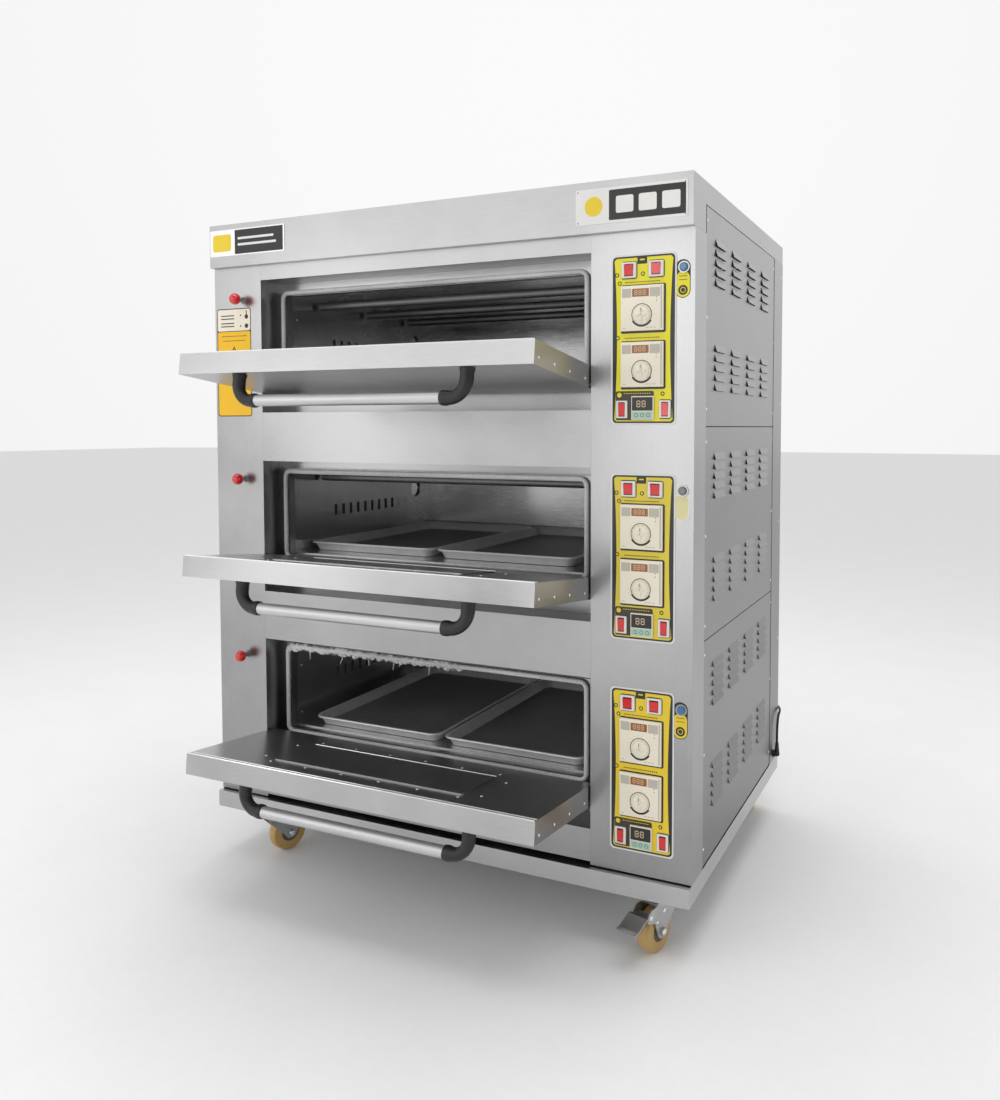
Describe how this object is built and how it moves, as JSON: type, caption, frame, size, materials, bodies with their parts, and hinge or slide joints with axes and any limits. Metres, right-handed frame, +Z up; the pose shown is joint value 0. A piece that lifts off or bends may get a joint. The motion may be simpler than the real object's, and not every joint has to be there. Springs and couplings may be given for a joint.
{
  "type": "deck oven",
  "caption": "Stainless deck oven on castors: stacked baking chambers behind drop-down doors, with a control column, louvred side and baking trays.",
  "frame": {"origin": "on the floor, under the middle of the oven's box with its doors open and without its cord", "axes": "+Z up, doors face -Y, +X towards the control column"},
  "size_m": [1.349, 1.3995, 1.69],
  "materials": {
    "brushed_stainless": "brushed, slightly worn",
    "chamber_steel": "heat-dulled, semi-polished",
    "burner_steel": "heat-darkened",
    "satin_tube": "satin",
    "fibre_rope": "woven fibre rope, frayed",
    "mineral_wool": "matt",
    "printed_yellow": "printed, satin",
    "cream_plastic": "moulded, satin",
    "black_plastic": "moulded, satin",
    "blue_plastic": "gloss",
    "grey_plastic": "gloss",
    "red_gloss": "gloss",
    "tray_aluminium": "pressed sheet, dull",
    "zinc_steel": "bright zinc plate",
    "polyurethane": "cast, satin",
    "black_cable": "matt sheath"
  },
  "bodies": {
    "cabinet": {"base_frame": "brushed_stainless", "top_cover": "brushed_stainless", "left_column": "brushed_stainless", "control_column": "brushed_stainless", "louvre_panels": "brushed_stainless", "rear_panel": "brushed_stainless", "front_frames": "brushed_stainless", "chamber_liners": "chamber_steel", "door_gaskets": "fibre_rope", "gas_burners": "burner_steel", "insulation": "mineral_wool", "control_plates": "printed_yellow", "panel_instruments": "cream_plastic", "castor_mounts": "zinc_steel", "cord_gland": "black_plastic", "power_cord": "black_cable", "cord_coil": "black_cable", "power_plug": "black_plastic"},
    "door_lower": {"door_lower": "brushed_stainless", "door_handle_lower": "satin_tube"},
    "steam_button_lower": {"steam_button_lower": "blue_plastic"},
    "damper_pull_lower": {"damper_pull_lower": "red_gloss"},
    "rocker_lower_top_left": {"rocker_lower_top_left": "red_gloss"},
    "rocker_lower_top_right": {"rocker_lower_top_right": "red_gloss"},
    "rocker_lower_low_left": {"rocker_lower_low_left": "red_gloss"},
    "rocker_lower_low_right": {"rocker_lower_low_right": "red_gloss"},
    "dial_lower_low": {"dial_lower_low": "cream_plastic"},
    "dial_lower_high": {"dial_lower_high": "cream_plastic"},
    "door_middle": {"door_middle": "brushed_stainless", "door_handle_middle": "satin_tube"},
    "steam_button_middle": {"steam_button_middle": "grey_plastic"},
    "damper_pull_middle": {"damper_pull_middle": "red_gloss"},
    "rocker_middle_top_left": {"rocker_middle_top_left": "red_gloss"},
    "rocker_middle_top_right": {"rocker_middle_top_right": "red_gloss"},
    "rocker_middle_low_left": {"rocker_middle_low_left": "red_gloss"},
    "rocker_middle_low_right": {"rocker_middle_low_right": "red_gloss"},
    "dial_middle_low": {"dial_middle_low": "cream_plastic"},
    "dial_middle_high": {"dial_middle_high": "cream_plastic"},
    "door_upper": {"door_upper": "brushed_stainless", "door_handle_upper": "satin_tube"},
    "steam_button_upper": {"steam_button_upper": "blue_plastic"},
    "damper_pull_upper": {"damper_pull_upper": "red_gloss"},
    "rocker_upper_top_left": {"rocker_upper_top_left": "red_gloss"},
    "rocker_upper_top_right": {"rocker_upper_top_right": "red_gloss"},
    "rocker_upper_low_left": {"rocker_upper_low_left": "red_gloss"},
    "rocker_upper_low_right": {"rocker_upper_low_right": "red_gloss"},
    "dial_upper_low": {"dial_upper_low": "cream_plastic"},
    "dial_upper_high": {"dial_upper_high": "cream_plastic"},
    "tray_lower_left": {"tray_lower_left": "tray_aluminium"},
    "tray_lower_right": {"tray_lower_right": "tray_aluminium"},
    "tray_middle_left": {"tray_middle_left": "tray_aluminium"},
    "tray_middle_right": {"tray_middle_right": "tray_aluminium"},
    "castor_fork_left": {"castor_fork_left": "zinc_steel"},
    "wheel_front_left": {"wheel_front_left": "polyurethane"},
    "brake_pedal_left": {"brake_pedal_left": "zinc_steel"},
    "castor_fork_right": {"castor_fork_right": "zinc_steel"},
    "wheel_front_right": {"wheel_front_right": "polyurethane"},
    "brake_pedal_right": {"brake_pedal_right": "zinc_steel"},
    "wheel_rear_left": {"wheel_rear_left": "polyurethane"},
    "wheel_rear_right": {"wheel_rear_right": "polyurethane"}
  },
  "joints": [
    {"name": "door_lower_hinge", "type": "hinge", "parent": "cabinet", "child": "door_lower", "pos_m": [-0.039, -0.336, 0.314], "axis": [-1, 0, 0], "range_deg": [0, 84.5]},
    {"name": "steam_button_lower_press", "type": "slide", "parent": "cabinet", "child": "steam_button_lower", "axis": [0, 1, 0], "range_m": [0, 0.004], "stiffness_N_per_m": 300},
    {"name": "damper_lower_slide", "type": "slide", "parent": "cabinet", "child": "damper_pull_lower", "axis": [0, -1, 0], "range_m": [0, 0.045]},
    {"name": "rocker_lower_top_left_rock", "type": "hinge", "parent": "cabinet", "child": "rocker_lower_top_left", "pos_m": [0.5185, -0.3434, 0.557], "axis": [-1, 0, 0], "range_deg": [0, 13]},
    {"name": "rocker_lower_top_right_rock", "type": "hinge", "parent": "cabinet", "child": "rocker_lower_top_right", "pos_m": [0.58, -0.3434, 0.557], "axis": [-1, 0, 0], "range_deg": [0, 13]},
    {"name": "rocker_lower_low_left_rock", "type": "hinge", "parent": "cabinet", "child": "rocker_lower_low_left", "pos_m": [0.503, -0.3434, 0.259], "axis": [-1, 0, 0], "range_deg": [0, 13]},
    {"name": "rocker_lower_low_right_rock", "type": "hinge", "parent": "cabinet", "child": "rocker_lower_low_right", "pos_m": [0.601, -0.3434, 0.259], "axis": [-1, 0, 0], "range_deg": [0, 13]},
    {"name": "dial_lower_low_turn", "type": "hinge", "parent": "cabinet", "child": "dial_lower_low", "pos_m": [0.5495, -0.3514, 0.341], "axis": [0, 1, 0], "range_deg": [0, 270]},
    {"name": "dial_lower_high_turn", "type": "hinge", "parent": "cabinet", "child": "dial_lower_high", "pos_m": [0.5495, -0.3514, 0.461], "axis": [0, 1, 0], "range_deg": [0, 270]},
    {"name": "door_middle_hinge", "type": "hinge", "parent": "cabinet", "child": "door_middle", "pos_m": [-0.039, -0.336, 0.784], "axis": [-1, 0, 0], "range_deg": [0, 83.5]},
    {"name": "steam_button_middle_press", "type": "slide", "parent": "cabinet", "child": "steam_button_middle", "axis": [0, 1, 0], "range_m": [0, 0.004], "stiffness_N_per_m": 300},
    {"name": "damper_middle_slide", "type": "slide", "parent": "cabinet", "child": "damper_pull_middle", "axis": [0, -1, 0], "range_m": [0, 0.045]},
    {"name": "rocker_middle_top_left_rock", "type": "hinge", "parent": "cabinet", "child": "rocker_middle_top_left", "pos_m": [0.5185, -0.3434, 1.027], "axis": [-1, 0, 0], "range_deg": [0, 13]},
    {"name": "rocker_middle_top_right_rock", "type": "hinge", "parent": "cabinet", "child": "rocker_middle_top_right", "pos_m": [0.58, -0.3434, 1.027], "axis": [-1, 0, 0], "range_deg": [0, 13]},
    {"name": "rocker_middle_low_left_rock", "type": "hinge", "parent": "cabinet", "child": "rocker_middle_low_left", "pos_m": [0.503, -0.3434, 0.729], "axis": [-1, 0, 0], "range_deg": [0, 13]},
    {"name": "rocker_middle_low_right_rock", "type": "hinge", "parent": "cabinet", "child": "rocker_middle_low_right", "pos_m": [0.601, -0.3434, 0.729], "axis": [-1, 0, 0], "range_deg": [0, 13]},
    {"name": "dial_middle_low_turn", "type": "hinge", "parent": "cabinet", "child": "dial_middle_low", "pos_m": [0.5495, -0.3514, 0.811], "axis": [0, 1, 0], "range_deg": [0, 270]},
    {"name": "dial_middle_high_turn", "type": "hinge", "parent": "cabinet", "child": "dial_middle_high", "pos_m": [0.5495, -0.3514, 0.931], "axis": [0, 1, 0], "range_deg": [0, 270]},
    {"name": "door_upper_hinge", "type": "hinge", "parent": "cabinet", "child": "door_upper", "pos_m": [-0.039, -0.336, 1.254], "axis": [-1, 0, 0], "range_deg": [0, 82.5]},
    {"name": "steam_button_upper_press", "type": "slide", "parent": "cabinet", "child": "steam_button_upper", "axis": [0, 1, 0], "range_m": [0, 0.004], "stiffness_N_per_m": 300},
    {"name": "damper_upper_slide", "type": "slide", "parent": "cabinet", "child": "damper_pull_upper", "axis": [0, -1, 0], "range_m": [0, 0.045]},
    {"name": "rocker_upper_top_left_rock", "type": "hinge", "parent": "cabinet", "child": "rocker_upper_top_left", "pos_m": [0.5185, -0.3434, 1.497], "axis": [-1, 0, 0], "range_deg": [0, 13]},
    {"name": "rocker_upper_top_right_rock", "type": "hinge", "parent": "cabinet", "child": "rocker_upper_top_right", "pos_m": [0.58, -0.3434, 1.497], "axis": [-1, 0, 0], "range_deg": [0, 13]},
    {"name": "rocker_upper_low_left_rock", "type": "hinge", "parent": "cabinet", "child": "rocker_upper_low_left", "pos_m": [0.503, -0.3434, 1.199], "axis": [-1, 0, 0], "range_deg": [0, 13]},
    {"name": "rocker_upper_low_right_rock", "type": "hinge", "parent": "cabinet", "child": "rocker_upper_low_right", "pos_m": [0.601, -0.3434, 1.199], "axis": [-1, 0, 0], "range_deg": [0, 13]},
    {"name": "dial_upper_low_turn", "type": "hinge", "parent": "cabinet", "child": "dial_upper_low", "pos_m": [0.5495, -0.3514, 1.281], "axis": [0, 1, 0], "range_deg": [0, 270]},
    {"name": "dial_upper_high_turn", "type": "hinge", "parent": "cabinet", "child": "dial_upper_high", "pos_m": [0.5495, -0.3514, 1.401], "axis": [0, 1, 0], "range_deg": [0, 270]},
    {"name": "tray_lower_left_slide", "type": "slide", "parent": "cabinet", "child": "tray_lower_left", "axis": [0, 1, 0], "range_m": [-0.0435, 0]},
    {"name": "tray_lower_right_slide", "type": "slide", "parent": "cabinet", "child": "tray_lower_right", "axis": [0, 1, 0], "range_m": [-0.0415, 0]},
    {"name": "tray_middle_left_slide", "type": "slide", "parent": "cabinet", "child": "tray_middle_left", "axis": [0, 1, 0], "range_m": [-0.0795, 0]},
    {"name": "tray_middle_right_slide", "type": "slide", "parent": "cabinet", "child": "tray_middle_right", "axis": [0, 1, 0], "range_m": [-0.0795, 0]},
    {"name": "castor_left_swivel", "type": "hinge", "parent": "cabinet", "child": "castor_fork_left", "pos_m": [-0.528, -0.299, 0.118], "axis": [0, 0, 1], "continuous": true},
    {"name": "wheel_front_left_spin", "type": "hinge", "parent": "castor_fork_left", "child": "wheel_front_left", "pos_m": [-0.51474, -0.26339, 0.05], "axis": [0.9371, -0.3489, 0], "continuous": true},
    {"name": "brake_left_press", "type": "hinge", "parent": "castor_fork_left", "child": "brake_pedal_left", "pos_m": [-0.49939, -0.22215, 0.097], "axis": [-0.9371, 0.3489, 0], "range_deg": [0, 15]},
    {"name": "castor_right_swivel", "type": "hinge", "parent": "cabinet", "child": "castor_fork_right", "pos_m": [0.582, -0.282, 0.118], "axis": [0, 0, 1], "continuous": true},
    {"name": "wheel_front_right_spin", "type": "hinge", "parent": "castor_fork_right", "child": "wheel_front_right", "pos_m": [0.57252, -0.3188, 0.05], "axis": [-0.9684, 0.2496, 0], "continuous": true},
    {"name": "brake_right_press", "type": "hinge", "parent": "castor_fork_right", "child": "brake_pedal_right", "pos_m": [0.56154, -0.3614, 0.097], "axis": [0.9684, -0.2496, 0], "range_deg": [0, 15]},
    {"name": "wheel_rear_left_spin", "type": "hinge", "parent": "cabinet", "child": "wheel_rear_left", "pos_m": [-0.585, 0.509, 0.05], "axis": [1, 0, 0], "continuous": true},
    {"name": "wheel_rear_right_spin", "type": "hinge", "parent": "cabinet", "child": "wheel_rear_right", "pos_m": [0.585, 0.509, 0.05], "axis": [1, 0, 0], "continuous": true}
  ]
}
